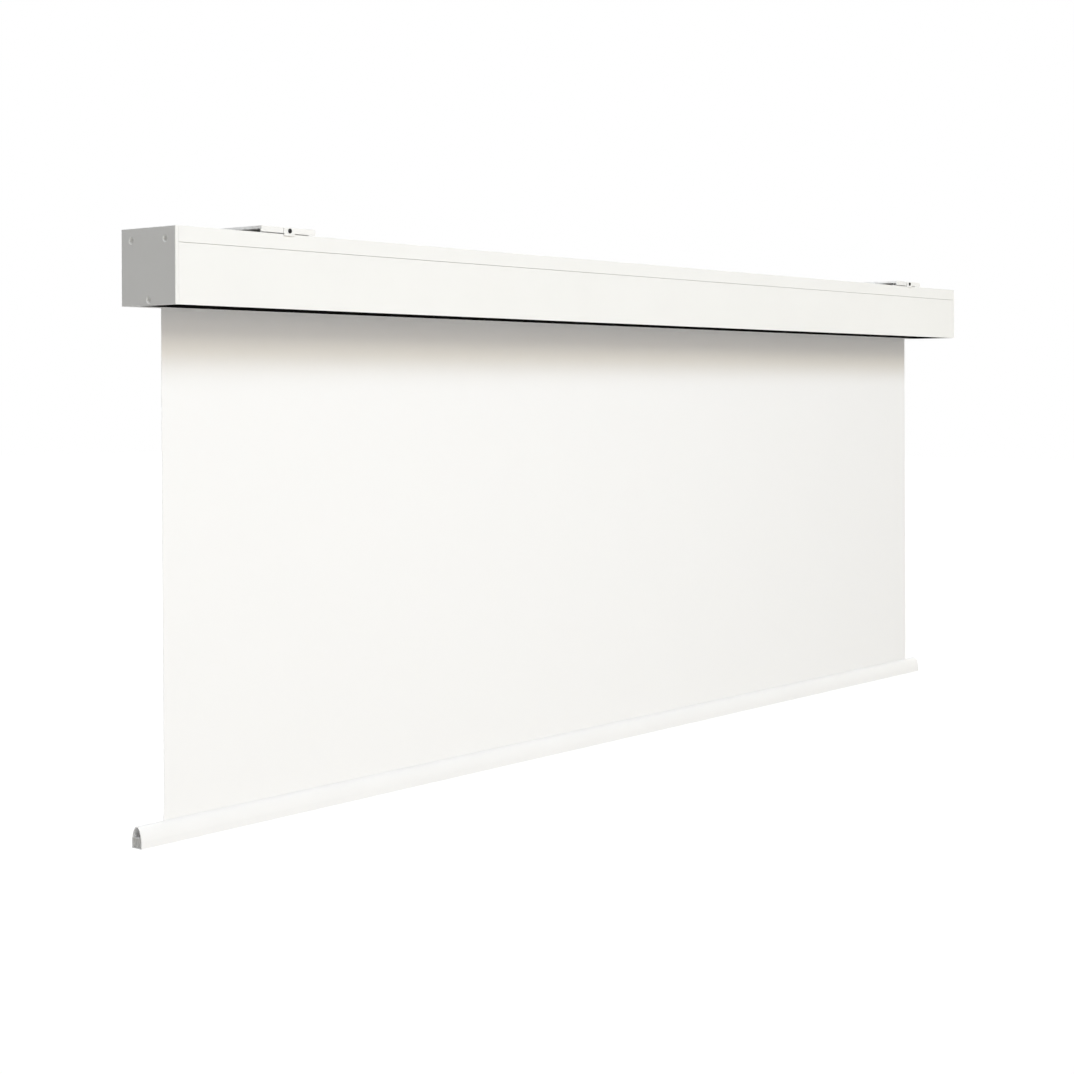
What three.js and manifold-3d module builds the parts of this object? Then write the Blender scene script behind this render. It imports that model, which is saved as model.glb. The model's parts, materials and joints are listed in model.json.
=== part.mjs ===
// A motorised projection screen that hangs from the ceiling, partly lowered.
// Millimetres, +Z up. X runs along the case, -Y faces the audience, and the
// origin is the centre of the ceiling plane that the two brackets touch.

import * as THREE from 'three';
import { mergeVertices } from 'three/addons/utils/BufferGeometryUtils.js';
import Module from 'manifold-3d';

const wasm = await Module();
wasm.setup();

// Clearances and facets
const fitGap = 0.3;
const runningGap = 1.0;
const cutOverrun = 2;
const weldTolerance = 0.00001;
const roundSteps = 12;
const largeRoundSteps = 20;
const fullTurn = 2 * Math.PI;
const quarterTurn = fullTurn / 4;

// Case
const caseDepth = 128;
const caseHeight = 120;
const caseWall = 2.2;
const coverSeamFromTop = 25;
const seamWidth = 0.6;
const coverFlangeDepth = 22;

// Joint between the case profile and the front cover
const shelfLipFromFront = 8;
const shelfLipHeight = 7;
const coverNoseFromFront = 4.4;
const coverLegFromFront = 12.5;
const coverNoseClearance = 1;

// Underside panel
const panelWall = 2;
const panelHookReach = 5;
const panelLipHeight = 9;

// Undercut grooves that carry the case on its brackets
const grooveFromFront = 12;
const grooveMouth = 6;
const grooveUndercut = 4;

// Screw ports along the profiles
const portBore = 2.1;
const portWall = 2.5;
const portSlitShare = 0.2;
const portFromFront = 24;
const portFromTop = 19;
const lowerPortFromFront = 63;
const lowerPortFromBottom = 8.5;

// End caps and the screws through them
const capPlate = 3;
const capBevel = 0.7;
const screwShank = 1.8;
const screwHead = 3.7;
const screwRim = 0.25;
const screwSunk = 0.6;
const screwBite = 16;
const screwCrossWidth = 1.1;
const screwCrossLength = 4.6;
const screwCrossDepth = 1.4;

// Roller and fabric
const fabricWidth = 2400;
const fabricFromLeft = 63;
const fabricFromRight = 57;
const fabricFromRear = 20;
const fabricThickness = 0.5;
const dropShown = 810;
const windingTurns = 4;
const rollerAroundMotor = 9.5;
const rollerWall = 1.8;
const rollerFromTop = 52;
const keyBore = 2.3;
const keyWall = 1.6;
const keyDepth = 3.1;
const keyMouthShare = 0.12;
const rollerKeder = 1.9;

// Motor
const motorRadius = 22.5;
const motorLength = 520;
const motorRoundOver = 2;
const motorHeadRadius = 27;
const motorHeadLength = 17;
const motorPinSide = 15;
const motorSeamDepth = 0.6;
const motorSeamWidth = 2;
const motorSeamPitch = 130;
const headFlatFromAxis = 23;
const adjusterRadius = 3.5;
const adjusterLength = 5;
const adjusterSpacing = 13;
const adjusterSocket = 1.5;
const adjusterSocketDepth = 2.5;
const leadSocketWidth = 9;
const leadSocketHeight = 14;
const leadSocketDepth = 8;
const shaftRadius = 6;
const shaftLength = 27;

// Wheels that turn with the roller tube
const wheelRim = 3;
const crownSleeve = 14;
const driveWheelWidth = 18;
const driveWheelFromMotor = 5;
const wheelWindows = 6;
const wheelWindowRadius = 5;
const wheelWindowFromAxis = 16.5;

// Idler end
const plugDepth = 32;
const plugWall = 2.4;
const plugFace = 4;
const plugHub = 10;
const idlerPinRadius = 6;
const idlerPinHead = 8.5;
const idlerPinHeadLength = 4;
const bearingRadius = 11;
const bearingFlange = 14;
const bearingFlangeThickness = 1.6;
const plugFromBearing = 5;

// Plates that carry the roller
const carrierPlate = 3;
const carrierHub = 23;
const carrierEar = lowerPortFromBottom - caseWall - fitGap;

// Bottom bar
const barThickness = 23;
const barHeight = 34.5;
const barInset = 9;
const barWall = 1.7;
const barStraightShare = 0.3;
const barShoulderPower = 1.6;
const barTipPower = 0.55;
const barWebShare = 0.5;
const barSlot = 2;
const barToSlotEdge = 2.5;
const hemRod = 2.6;
const hemNeckAboveBar = 1;
const ballastWidth = 15;
const ballastHeight = 11;
const ballastInset = 30;
const barInsertLength = 14;
const barInsertRecess = 0.6;
const barInsertRibs = 4;
const barInsertRibDepth = 1.2;
const barInsertRibWidth = 1.4;

// Ceiling brackets, their clips and clip screws
const bracketRise = 11;
const bracketLength = 118;
const bracketWall = 2.5;
const bracketWeb = 4.5;
const bracketFromEnd = 235;
const bracketFlangeGap = 1;
const bracketLegWall = 2.4;
const bracketLegInset = 12;
const ceilingHole = 3.3;
const ceilingHoleSpacing = 76;
const clipWidth = 24;
const clipWall = 2.2;
const clipLap = 2.6;
const clipTopGap = 0.6;
const clipCorner = 2;
const clipScrewShank = 1.5;
const clipScrewHead = 3.8;
const clipScrewHeadHeight = 2.4;
const clipScrewAboveCase = 5.4;
const clipScrewSocket = 1.5;
const clipScrewSocketDepth = 1.5;
const clipNutFlats = 5.5;
const clipNutThickness = 2.6;

// Cable outlet in the rear wall, beside the motor head
const outletFromLeft = 45;
const outletFromTop = 28;
const outletHole = 7.6;
const outletGroove = 7.3;
const outletFlange = 9.5;
const outletBore = 4;
const outletFlangeThickness = 1.8;

// Places and sizes that follow from them
const caseLength = fabricFromLeft + fabricWidth + fabricFromRight;
const slotFromRear = fabricFromRear + barThickness / 2 + barToSlotEdge;
const rearLipDepth = fabricFromRear - barThickness / 2 - barToSlotEdge;
const rollerRadius = motorRadius + rollerAroundMotor;
const front = -caseDepth / 2;
const rear = caseDepth / 2;
const top = -bracketRise;
const bottom = top - caseHeight;
const endFace = caseLength / 2;
const capInner = endFace - capPlate;
const carrierOuter = capInner - fitGap;
const carrierInner = carrierOuter - carrierPlate;
const capRimEnd = carrierInner - fitGap;
const profileEnd = capRimEnd - fitGap;
const seamZ = top - coverSeamFromTop;
const shelfZ = seamZ + seamWidth / 2;
const coverTopZ = seamZ - seamWidth / 2;
const coverFlangeZ = bottom + panelWall + fitGap + caseWall / 2;
const portRadius = portBore + portWall;
const screwCone = screwHead - screwShank;
const screwSeatDepth = screwSunk + screwRim + screwCone;
const slotY = rear - slotFromRear;
const fabricY = rear - fabricFromRear;
const fabricLeft = -endFace + fabricFromLeft;
const fabricRight = fabricLeft + fabricWidth;
const woundRadius = rollerRadius + fitGap + (windingTurns + 1) * fabricThickness;
const rollerY = fabricY + fabricThickness / 2 - woundRadius - fitGap;
const rollerZ = top - rollerFromTop;
const barEnd = endFace - barInset;
const barTop = bottom - dropShown;
const barBottom = barTop - barHeight;
const motorHeadStart = -carrierInner + fitGap;
const motorHeadEnd = motorHeadStart + motorHeadLength;
const motorStart = motorHeadEnd + fitGap;
const motorEnd = motorStart + motorLength;
const crownStart = motorHeadEnd + runningGap;
const tubeStart = crownStart + wheelRim + fitGap;
const plugEnd = carrierInner - fitGap - bearingFlangeThickness - plugFromBearing;
const tubeEnd = plugEnd - wheelRim - fitGap;
const keyFromAxis = rollerRadius - keyDepth;
const tubeBore = rollerRadius - rollerWall;
const grooveFloorDepth = caseWall + fitGap + bracketLegWall + runningGap;
const clipNutCorner = clipNutFlats / Math.sqrt(3);

const screwPlaces = [
  { name: 'front', y: front + portFromFront, z: top - portFromTop },
  { name: 'rear', y: rear - portFromFront, z: top - portFromTop },
  { name: 'bottom', y: front + lowerPortFromFront, z: bottom + lowerPortFromBottom },
];

// Closed geometry to solid and back, for joining and cutting

function toSolid(geometry) {
  const bare = geometry.clone();
  bare.deleteAttribute('normal');
  bare.deleteAttribute('uv');
  const welded = mergeVertices(bare, weldTolerance);
  return new wasm.Manifold(new wasm.Mesh({
    numProp: 3,
    vertProperties: new Float32Array(welded.attributes.position.array),
    triVerts: new Uint32Array(welded.index.array),
  }));
}

function toGeometry(solid) {
  const mesh = solid.getMesh();
  const geometry = new THREE.BufferGeometry();
  geometry.setAttribute('position', new THREE.BufferAttribute(mesh.vertProperties, mesh.numProp));
  geometry.setIndex(new THREE.BufferAttribute(mesh.triVerts, 1));
  geometry.computeVertexNormals();
  return geometry;
}

function joined(first, ...others) {
  return toGeometry(others.reduce((whole, next) => whole.add(toSolid(next)), toSolid(first)));
}

function cut(body, ...tools) {
  return toGeometry(tools.reduce((whole, tool) => whole.subtract(toSolid(tool)), toSolid(body)));
}

// Sections are drawn across the case, in Y and Z, and drawn out along X

const alongX = new THREE.Matrix4().makeBasis(
  new THREE.Vector3(0, 1, 0),
  new THREE.Vector3(0, 0, 1),
  new THREE.Vector3(1, 0, 0),
);

function drawnOut(shape, fromX, toX, steps = roundSteps) {
  const geometry = new THREE.ExtrudeGeometry(shape, {
    depth: toX - fromX,
    bevelEnabled: false,
    curveSegments: steps,
  });
  geometry.applyMatrix4(alongX);
  geometry.translate(fromX, 0, 0);
  return geometry;
}

// A wall of one thickness along a centre line, with mitred corners
function wallSection(path, wall) {
  const points = path.map(([y, z]) => new THREE.Vector2(y, z));
  const sides = points.map((point, index) => {
    const before = points[Math.max(index - 1, 0)];
    const after = points[Math.min(index + 1, points.length - 1)];
    const into = point.clone().sub(before).normalize();
    const out = after.clone().sub(point).normalize();
    const mitre = into.clone().add(out).normalize();
    const along = into.lengthSq() > 0 ? into : out;
    const reach = wall / 2 / mitre.dot(along);
    return new THREE.Vector2(-mitre.y, mitre.x).multiplyScalar(reach);
  });
  const left = points.map((point, index) => point.clone().add(sides[index]));
  const right = points.map((point, index) => point.clone().sub(sides[index]));
  return new THREE.Shape([...left, ...right.reverse()]);
}

function block(fromX, toX, fromY, toY, fromZ, toZ) {
  const geometry = new THREE.BoxGeometry(toX - fromX, toY - fromY, toZ - fromZ);
  geometry.translate((fromX + toX) / 2, (fromY + toY) / 2, (fromZ + toZ) / 2);
  return geometry;
}

function disc(radius, y = 0, z = 0) {
  return new THREE.Shape().absarc(y, z, radius, 0, fullTurn);
}

function ring(outer, inner, y = 0, z = 0) {
  const shape = disc(outer, y, z);
  shape.holes.push(new THREE.Path().absarc(y, z, inner, 0, fullTurn));
  return shape;
}

function rodAlongX(radius, fromX, toX, y, z, steps = roundSteps) {
  return drawnOut(disc(radius, y, z), fromX, toX, steps);
}

function rodAlongY(radius, fromY, toY, x, z) {
  const geometry = new THREE.CylinderGeometry(radius, radius, toY - fromY, 2 * roundSteps);
  geometry.translate(x, (fromY + toY) / 2, z);
  return geometry;
}

function rodAlongZ(radius, fromZ, toZ, x, y) {
  const geometry = new THREE.CylinderGeometry(radius, radius, toZ - fromZ, 2 * roundSteps);
  geometry.rotateX(quarterTurn);
  geometry.translate(x, y, (fromZ + toZ) / 2);
  return geometry;
}

function hexagonAlongY(radius, fromY, toY, x, z) {
  const geometry = new THREE.CylinderGeometry(radius, radius, toY - fromY, 6);
  geometry.rotateY(fullTurn / 12);
  geometry.translate(x, (fromY + toY) / 2, z);
  return geometry;
}

// A band round several discs: the outline of a pressed carrier plate
function beltShape(discs) {
  const points = discs.flatMap(({ y, z, radius }) => (
    Array.from({ length: 2 * roundSteps }, (_, step) => {
      const turn = fullTurn * step / (2 * roundSteps);
      return new THREE.Vector2(y + radius * Math.cos(turn), z + radius * Math.sin(turn));
    })
  ));
  points.sort((a, b) => a.x - b.x || a.y - b.y);
  const halfHull = (list) => {
    const hull = [];
    for (const point of list) {
      while (hull.length > 1 && turnsRight(hull[hull.length - 2], hull[hull.length - 1], point)) hull.pop();
      hull.push(point);
    }
    return hull.slice(0, -1);
  };
  return new THREE.Shape([...halfHull(points), ...halfHull([...points].reverse())]);
}

function turnsRight(a, b, c) {
  return (b.x - a.x) * (c.y - a.y) - (b.y - a.y) * (c.x - a.x) <= 0;
}

// Materials

function finish(color, roughness, metalness) {
  return new THREE.MeshStandardMaterial({ color, roughness, metalness });
}

const whiteCoat = finish(0xf1f1ee, 0.5, 0);
const blackCoat = finish(0x17171a, 0.8, 0);
const greyPlastic = finish(0x9a9b98, 0.6, 0);
const blackPlastic = finish(0x1c1c1e, 0.6, 0);
const zincSteel = finish(0xb9bcc0, 0.4, 1);
const darkSteel = finish(0x2a2b2d, 0.45, 0.8);
const bareAluminium = finish(0xc4c6c8, 0.4, 1);
const screenCloth = finish(0xf6f5f1, 0.95, 0);
const nylon = finish(0xe4e0d2, 0.6, 0);
const rubber = finish(0x202022, 0.9, 0);

const screen = new THREE.Group();

function place(parent, name, geometry, material) {
  const mesh = new THREE.Mesh(geometry, material);
  mesh.name = name;
  parent.add(mesh);
}

// Case profile: top, rear wall, upper front, hook grooves and screw ports

function groovePath(edge, inward) {
  const wallBefore = edge + inward * (grooveFromFront - caseWall / 2);
  const wallAfter = edge + inward * (grooveFromFront + grooveMouth + grooveUndercut + caseWall / 2);
  const floor = top - grooveFloorDepth - caseWall / 2;
  return [
    [wallBefore, top - caseWall / 2],
    [wallBefore, floor],
    [wallAfter, floor],
    [wallAfter, top - caseWall / 2],
  ];
}

function screwPort(y, z, slitTurn) {
  const slit = portSlitShare * fullTurn / 2;
  const shape = new THREE.Shape();
  shape.absarc(y, z, portRadius, slitTurn + slit, slitTurn - slit + fullTurn, false);
  shape.absarc(y, z, portBore, slitTurn - slit + fullTurn, slitTurn + slit, true);
  return shape;
}

function caseProfileGeometry() {
  const half = caseWall / 2;
  const frontPath = [
    [front + shelfLipFromFront, shelfZ + shelfLipHeight],
    [front + shelfLipFromFront, shelfZ + half],
    [front + half, shelfZ + half],
    [front + half, top - half],
    ...groovePath(front, 1),
  ];
  const rearPath = [
    ...groovePath(rear, -1).reverse(),
    [rear - half, top - half],
    [rear - half, bottom + half],
    [rear - rearLipDepth, bottom + half],
  ];
  const overhang = caseDepth / 2 - grooveFromFront - grooveMouth;
  const sections = [
    wallSection(frontPath, caseWall),
    wallSection(rearPath, caseWall),
    wallSection([[-overhang, top - half], [overhang, top - half]], caseWall),
  ];
  for (const { y, z } of screwPlaces.slice(0, 2)) {
    sections.push(screwPort(y, z, -quarterTurn));
    sections.push(wallSection([[y, z + portBore + portWall / 2], [y, top - half]], portWall));
  }
  const [first, ...others] = sections.map((shape) => drawnOut(shape, -profileEnd, profileEnd));
  const outletX = -endFace + outletFromLeft;
  const outletZ = top - outletFromTop;
  const outlet = rodAlongY(outletHole, rear - caseWall - cutOverrun, rear + cutOverrun, outletX, outletZ);
  return cut(joined(first, ...others), outlet);
}

// Front cover: hangs on the shelf by its hook. Its flange turns in above the underside
// panel, and its lip hides the panel's front edge

function frontCoverGeometry() {
  const half = caseWall / 2;
  const hookZ = shelfZ + shelfLipHeight + fitGap + half;
  const path = [
    [front + coverNoseFromFront, shelfZ + caseWall + coverNoseClearance],
    [front + coverNoseFromFront, hookZ],
    [front + coverLegFromFront, hookZ],
    [front + coverLegFromFront, coverTopZ - half],
    [front + half, coverTopZ - half],
    [front + half, coverFlangeZ],
    [front + coverFlangeDepth, coverFlangeZ],
  ];
  const lip = [[front + half, coverFlangeZ], [front + half, bottom]];
  return joined(
    drawnOut(wallSection(path, caseWall), -profileEnd, profileEnd),
    drawnOut(wallSection(lip, caseWall), -profileEnd, profileEnd),
  );
}

// Underside panel: black, from the cover's lip to the slot, hooked over the cover's flange

function undersidePanelGeometry() {
  const half = panelWall / 2;
  const path = [
    [front + caseWall + fitGap, bottom + half],
    [slotY - half, bottom + half],
    [slotY - half, bottom + panelLipHeight],
  ];
  const hookY = front + coverFlangeDepth + fitGap + half;
  const hookZ = coverFlangeZ + caseWall / 2 + fitGap + half;
  const hook = [[hookY, bottom + half], [hookY, hookZ], [hookY - panelHookReach, hookZ]];
  const portY = front + lowerPortFromFront;
  const portZ = bottom + lowerPortFromBottom;
  const web = [[portY, portZ - portBore - portWall / 2], [portY, bottom + half]];
  return joined(
    drawnOut(wallSection(path, panelWall), -profileEnd, profileEnd),
    drawnOut(wallSection(hook, panelWall), -profileEnd, profileEnd),
    drawnOut(screwPort(portY, portZ, quarterTurn), -profileEnd, profileEnd),
    drawnOut(wallSection(web, portWall), -profileEnd, profileEnd),
  );
}

// End caps: a plate with a rim that closes on the profiles, and countersunk screw holes

function endCapGeometry(side) {
  const outline = new THREE.Shape([
    new THREE.Vector2(front, bottom),
    new THREE.Vector2(rear, bottom),
    new THREE.Vector2(rear, top),
    new THREE.Vector2(front, top),
  ]);
  const plate = new THREE.ExtrudeGeometry(outline, {
    depth: capPlate,
    bevelEnabled: true,
    bevelThickness: capBevel,
    bevelSize: capBevel,
    bevelOffset: -capBevel,
    bevelSegments: 1,
  });
  plate.applyMatrix4(alongX);
  plate.translate(capInner - capBevel, 0, 0);
  const beyond = block(capInner - 2 * capPlate, capInner, front, rear, bottom, top);
  const rimLoop = new THREE.Shape(outline.getPoints());
  rimLoop.holes.push(new THREE.Path([
    new THREE.Vector2(front + caseWall, bottom + caseWall),
    new THREE.Vector2(front + caseWall, top - caseWall),
    new THREE.Vector2(rear - caseWall, top - caseWall),
    new THREE.Vector2(rear - caseWall, bottom + caseWall),
  ]));
  const rim = drawnOut(rimLoop, capRimEnd, capInner + capPlate / 2);
  const seats = screwPlaces.map(({ y, z }) => screwSeat(y, z));
  const cap = cut(joined(cut(plate, beyond), rim), ...seats);
  return side > 0 ? cap : mirroredX(cap);
}

function screwSeat(y, z) {
  const hole = screwShank + fitGap;
  const sinkFrom = capPlate - screwSeatDepth;
  const turned = new THREE.LatheGeometry([
    new THREE.Vector2(0, -cutOverrun),
    new THREE.Vector2(hole, -cutOverrun),
    new THREE.Vector2(hole, sinkFrom),
    new THREE.Vector2(hole + screwSeatDepth + cutOverrun, capPlate + cutOverrun),
    new THREE.Vector2(0, capPlate + cutOverrun),
  ], 2 * roundSteps);
  turned.rotateZ(-quarterTurn);
  turned.translate(capInner, y, z);
  return turned;
}

function mirroredX(geometry) {
  const mirrored = geometry.clone().scale(-1, 1, 1);
  const index = mirrored.index.array;
  for (let corner = 0; corner < index.length; corner += 3) {
    [index[corner], index[corner + 1]] = [index[corner + 1], index[corner]];
  }
  mirrored.computeVertexNormals();
  return mirrored;
}

// Cap screws: countersunk heads with a cross recess, sunk a little below the cap's face

function capScrewGeometry(side, y, z) {
  const length = capPlate + carrierPlate + fitGap + screwBite - screwSunk;
  const headFoot = length - screwRim - screwCone;
  const profile = [
    new THREE.Vector2(0, 0),
    new THREE.Vector2(screwShank, 0),
    new THREE.Vector2(screwShank, headFoot),
    new THREE.Vector2(screwHead, length - screwRim),
    new THREE.Vector2(screwHead, length),
    new THREE.Vector2(0, length),
  ];
  const turned = new THREE.LatheGeometry(profile, 2 * roundSteps);
  const barWidth = screwCrossWidth / 2;
  const barLength = screwCrossLength / 2;
  const crossTop = length + cutOverrun;
  const crossFloor = length - screwCrossDepth;
  const screw = cut(
    turned,
    block(-barWidth, barWidth, crossFloor, crossTop, -barLength, barLength),
    block(-barLength, barLength, crossFloor, crossTop, -barWidth, barWidth),
  );
  screw.rotateZ(-side * quarterTurn);
  screw.translate(side * (endFace - screwSunk - length), y, z);
  return screw;
}

// Carrier plates inside the caps, held by the same screws

function carrierGeometry(side, hubCut) {
  const discs = screwPlaces.map(({ y, z }) => ({ y, z, radius: carrierEar }));
  discs.push({ y: rollerY, z: rollerZ, radius: carrierHub });
  const plate = drawnOut(beltShape(discs), carrierInner, carrierOuter);
  const holes = screwPlaces.map(({ y, z }) => (
    rodAlongX(screwShank + fitGap, carrierInner - cutOverrun, carrierOuter + cutOverrun, y, z)
  ));
  const carrier = cut(plate, ...holes, hubCut);
  return side > 0 ? carrier : mirroredX(carrier);
}

function motorCarrierGeometry() {
  const socket = motorPinSide / 2 + fitGap;
  return carrierGeometry(-1, block(
    carrierInner - cutOverrun,
    carrierOuter + cutOverrun,
    rollerY - socket,
    rollerY + socket,
    rollerZ - socket,
    rollerZ + socket,
  ));
}

function idlerCarrierGeometry() {
  const seat = bearingRadius + fitGap;
  const fromX = carrierInner - cutOverrun;
  const toX = carrierOuter + cutOverrun;
  return carrierGeometry(1, rodAlongX(seat, fromX, toX, rollerY, rollerZ));
}

// Motor: head with its square pin and two limit adjusters, and the tube

const adjusterFace = rollerY - headFlatFromAxis;
const adjusterX = (motorHeadStart + motorHeadEnd) / 2;
const adjusterPlaces = [
  { name: 'limit_adjuster_up', z: rollerZ + adjusterSpacing / 2 },
  { name: 'limit_adjuster_down', z: rollerZ - adjusterSpacing / 2 },
];

function motorHeadGeometry() {
  const pin = motorPinSide / 2;
  const pinStart = -carrierOuter + fitGap;
  const drum = rodAlongX(motorHeadRadius, motorHeadStart, motorHeadEnd, rollerY, rollerZ, largeRoundSteps);
  const squarePin = block(
    pinStart,
    motorHeadStart + cutOverrun,
    rollerY - pin,
    rollerY + pin,
    rollerZ - pin,
    rollerZ + pin,
  );
  const flat = block(
    motorHeadStart - cutOverrun,
    motorHeadEnd + cutOverrun,
    rollerY - motorHeadRadius - cutOverrun,
    adjusterFace,
    rollerZ - motorHeadRadius,
    rollerZ + motorHeadRadius,
  );
  const pockets = adjusterPlaces.map(({ z }) => rodAlongY(
    adjusterRadius + fitGap,
    adjusterFace - cutOverrun,
    adjusterFace + adjusterLength + fitGap,
    adjusterX,
    z,
  ));
  const leadSocket = block(
    adjusterX - leadSocketWidth / 2,
    adjusterX + leadSocketWidth / 2,
    rollerY + motorHeadRadius - leadSocketDepth,
    rollerY + motorHeadRadius + cutOverrun,
    rollerZ - leadSocketHeight / 2,
    rollerZ + leadSocketHeight / 2,
  );
  return cut(joined(drum, squarePin), flat, leadSocket, ...pockets);
}

function adjusterGeometry(z) {
  const outer = adjusterFace;
  const body = rodAlongY(adjusterRadius, outer, outer + adjusterLength, adjusterX, z);
  const socketFloor = outer + adjusterSocketDepth;
  const socket = hexagonAlongY(adjusterSocket, outer - cutOverrun, socketFloor, adjusterX, z);
  return cut(body, socket);
}

function motorTubeGeometry() {
  const profile = [
    new THREE.Vector2(0, 0),
    new THREE.Vector2(motorRadius - motorRoundOver, 0),
    new THREE.Vector2(motorRadius, motorRoundOver),
  ];
  for (let along = motorSeamPitch; along < motorLength - motorSeamPitch / 2; along += motorSeamPitch) {
    profile.push(new THREE.Vector2(motorRadius, along - motorSeamWidth));
    profile.push(new THREE.Vector2(motorRadius - motorSeamDepth, along - motorSeamWidth / 2));
    profile.push(new THREE.Vector2(motorRadius - motorSeamDepth, along + motorSeamWidth / 2));
    profile.push(new THREE.Vector2(motorRadius, along + motorSeamWidth));
  }
  profile.push(new THREE.Vector2(motorRadius, motorLength - motorRoundOver));
  profile.push(new THREE.Vector2(motorRadius - motorRoundOver, motorLength));
  profile.push(new THREE.Vector2(0, motorLength));
  const turned = new THREE.LatheGeometry(profile, 2 * roundSteps);
  turned.rotateZ(-quarterTurn);
  turned.translate(motorStart, rollerY, rollerZ);
  return turned;
}

// Roller tube: an extruded tube with a key groove that holds the cloth

function rollerTubeGeometry() {
  const mouth = keyMouthShare * fullTurn;
  const bulge = keyBore + keyWall;
  const reach = (keyFromAxis ** 2 + tubeBore ** 2 - bulge ** 2) / (2 * keyFromAxis * tubeBore);
  const bulgeAngle = Math.acos(Math.min(reach, 1));
  const keyZ = rollerZ + keyFromAxis;
  const mouthHalfWidth = keyBore * Math.sin(mouth);
  const mouthAngle = Math.asin(mouthHalfWidth / rollerRadius);
  const outer = new THREE.Shape();
  const afterMouth = quarterTurn + mouthAngle;
  const beforeMouth = quarterTurn - mouthAngle + fullTurn;
  outer.absarc(rollerY, rollerZ, rollerRadius, afterMouth, beforeMouth, false);
  outer.absarc(rollerY, keyZ, keyBore, quarterTurn - mouth, quarterTurn + mouth - fullTurn, true);
  const meetY = tubeBore * Math.sin(bulgeAngle);
  const meetZ = tubeBore * Math.cos(bulgeAngle) - keyFromAxis;
  const meetTurn = Math.atan2(meetZ, meetY);
  const inner = new THREE.Path();
  const afterBulge = quarterTurn + bulgeAngle;
  const beforeBulge = quarterTurn - bulgeAngle + fullTurn;
  inner.absarc(rollerY, rollerZ, tubeBore, afterBulge, beforeBulge, false);
  inner.absarc(rollerY, keyZ, bulge, meetTurn, meetTurn - (fullTurn / 2 + 2 * meetTurn), true);
  outer.holes.push(inner);
  return drawnOut(outer, tubeStart, tubeEnd, largeRoundSteps);
}

function keyNotch(fromX, toX) {
  const radius = keyBore + keyWall + fitGap;
  const keyZ = rollerZ + keyFromAxis;
  return joined(
    rodAlongX(radius, fromX, toX, rollerY, keyZ),
    block(fromX, toX, rollerY - radius, rollerY + radius, keyZ, rollerZ + rollerRadius),
  );
}

function motorCrownGeometry() {
  const rim = ring(rollerRadius, motorRadius + fitGap, rollerY, rollerZ);
  const sleeve = ring(tubeBore - fitGap, motorRadius + fitGap, rollerY, rollerZ);
  const sleeveEnd = tubeStart + crownSleeve;
  return cut(
    joined(
      drawnOut(rim, crownStart, crownStart + wheelRim, largeRoundSteps),
      drawnOut(sleeve, crownStart, sleeveEnd, largeRoundSteps),
    ),
    keyNotch(crownStart + wheelRim, sleeveEnd + cutOverrun),
  );
}

function driveWheelGeometry() {
  const fromX = motorEnd + driveWheelFromMotor;
  const toX = fromX + driveWheelWidth;
  const body = disc(tubeBore - fitGap, rollerY, rollerZ);
  for (let window = 0; window < wheelWindows; window += 1) {
    const turn = quarterTurn + fullTurn * (window + 0.5) / wheelWindows;
    const y = rollerY + wheelWindowFromAxis * Math.cos(turn);
    const z = rollerZ + wheelWindowFromAxis * Math.sin(turn);
    body.holes.push(new THREE.Path().absarc(y, z, wheelWindowRadius, 0, fullTurn));
  }
  const boreRadius = shaftRadius + fitGap;
  const bore = new THREE.CylinderGeometry(boreRadius, boreRadius, 2 * driveWheelWidth, 6);
  bore.rotateZ(quarterTurn);
  bore.translate((fromX + toX) / 2, rollerY, rollerZ);
  return cut(drawnOut(body, fromX, toX), bore, keyNotch(fromX - cutOverrun, toX + cutOverrun));
}

function outputShaftGeometry() {
  const shaft = new THREE.CylinderGeometry(shaftRadius, shaftRadius, shaftLength, 6);
  shaft.rotateZ(quarterTurn);
  shaft.translate(motorEnd + fitGap + shaftLength / 2, rollerY, rollerZ);
  return shaft;
}

// Idler end: a moulded plug in the tube, its pin and the bearing

function idlerPlugGeometry() {
  const innerEnd = plugEnd - plugDepth;
  const skirt = tubeBore - fitGap;
  const shell = joined(
    rodAlongX(rollerRadius, plugEnd - wheelRim, plugEnd, rollerY, rollerZ, largeRoundSteps),
    rodAlongX(skirt, innerEnd, plugEnd - wheelRim / 2, rollerY, rollerZ, largeRoundSteps),
  );
  const hollow = drawnOut(
    ring(skirt - plugWall, plugHub, rollerY, rollerZ),
    innerEnd - cutOverrun,
    plugEnd - plugFace,
  );
  const bore = rodAlongX(
    idlerPinRadius + fitGap,
    innerEnd - cutOverrun,
    plugEnd + cutOverrun,
    rollerY,
    rollerZ,
  );
  return cut(shell, hollow, bore, keyNotch(innerEnd - cutOverrun, plugEnd - wheelRim));
}

function idlerPinGeometry() {
  const headStart = plugEnd - plugDepth - fitGap - idlerPinHeadLength;
  return joined(
    rodAlongX(idlerPinHead, headStart, headStart + idlerPinHeadLength, rollerY, rollerZ),
    rodAlongX(idlerPinRadius, headStart, carrierOuter - fitGap, rollerY, rollerZ),
  );
}

function idlerBearingGeometry() {
  const bore = idlerPinRadius + fitGap;
  const flangeStart = carrierInner - fitGap - bearingFlangeThickness;
  return joined(
    drawnOut(ring(bearingFlange, bore, rollerY, rollerZ), flangeStart, carrierInner - fitGap),
    drawnOut(ring(bearingRadius, bore, rollerY, rollerZ), flangeStart, carrierOuter),
  );
}

// Cloth wound on the roller: the last turn ends in a step where the sheet leaves

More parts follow.
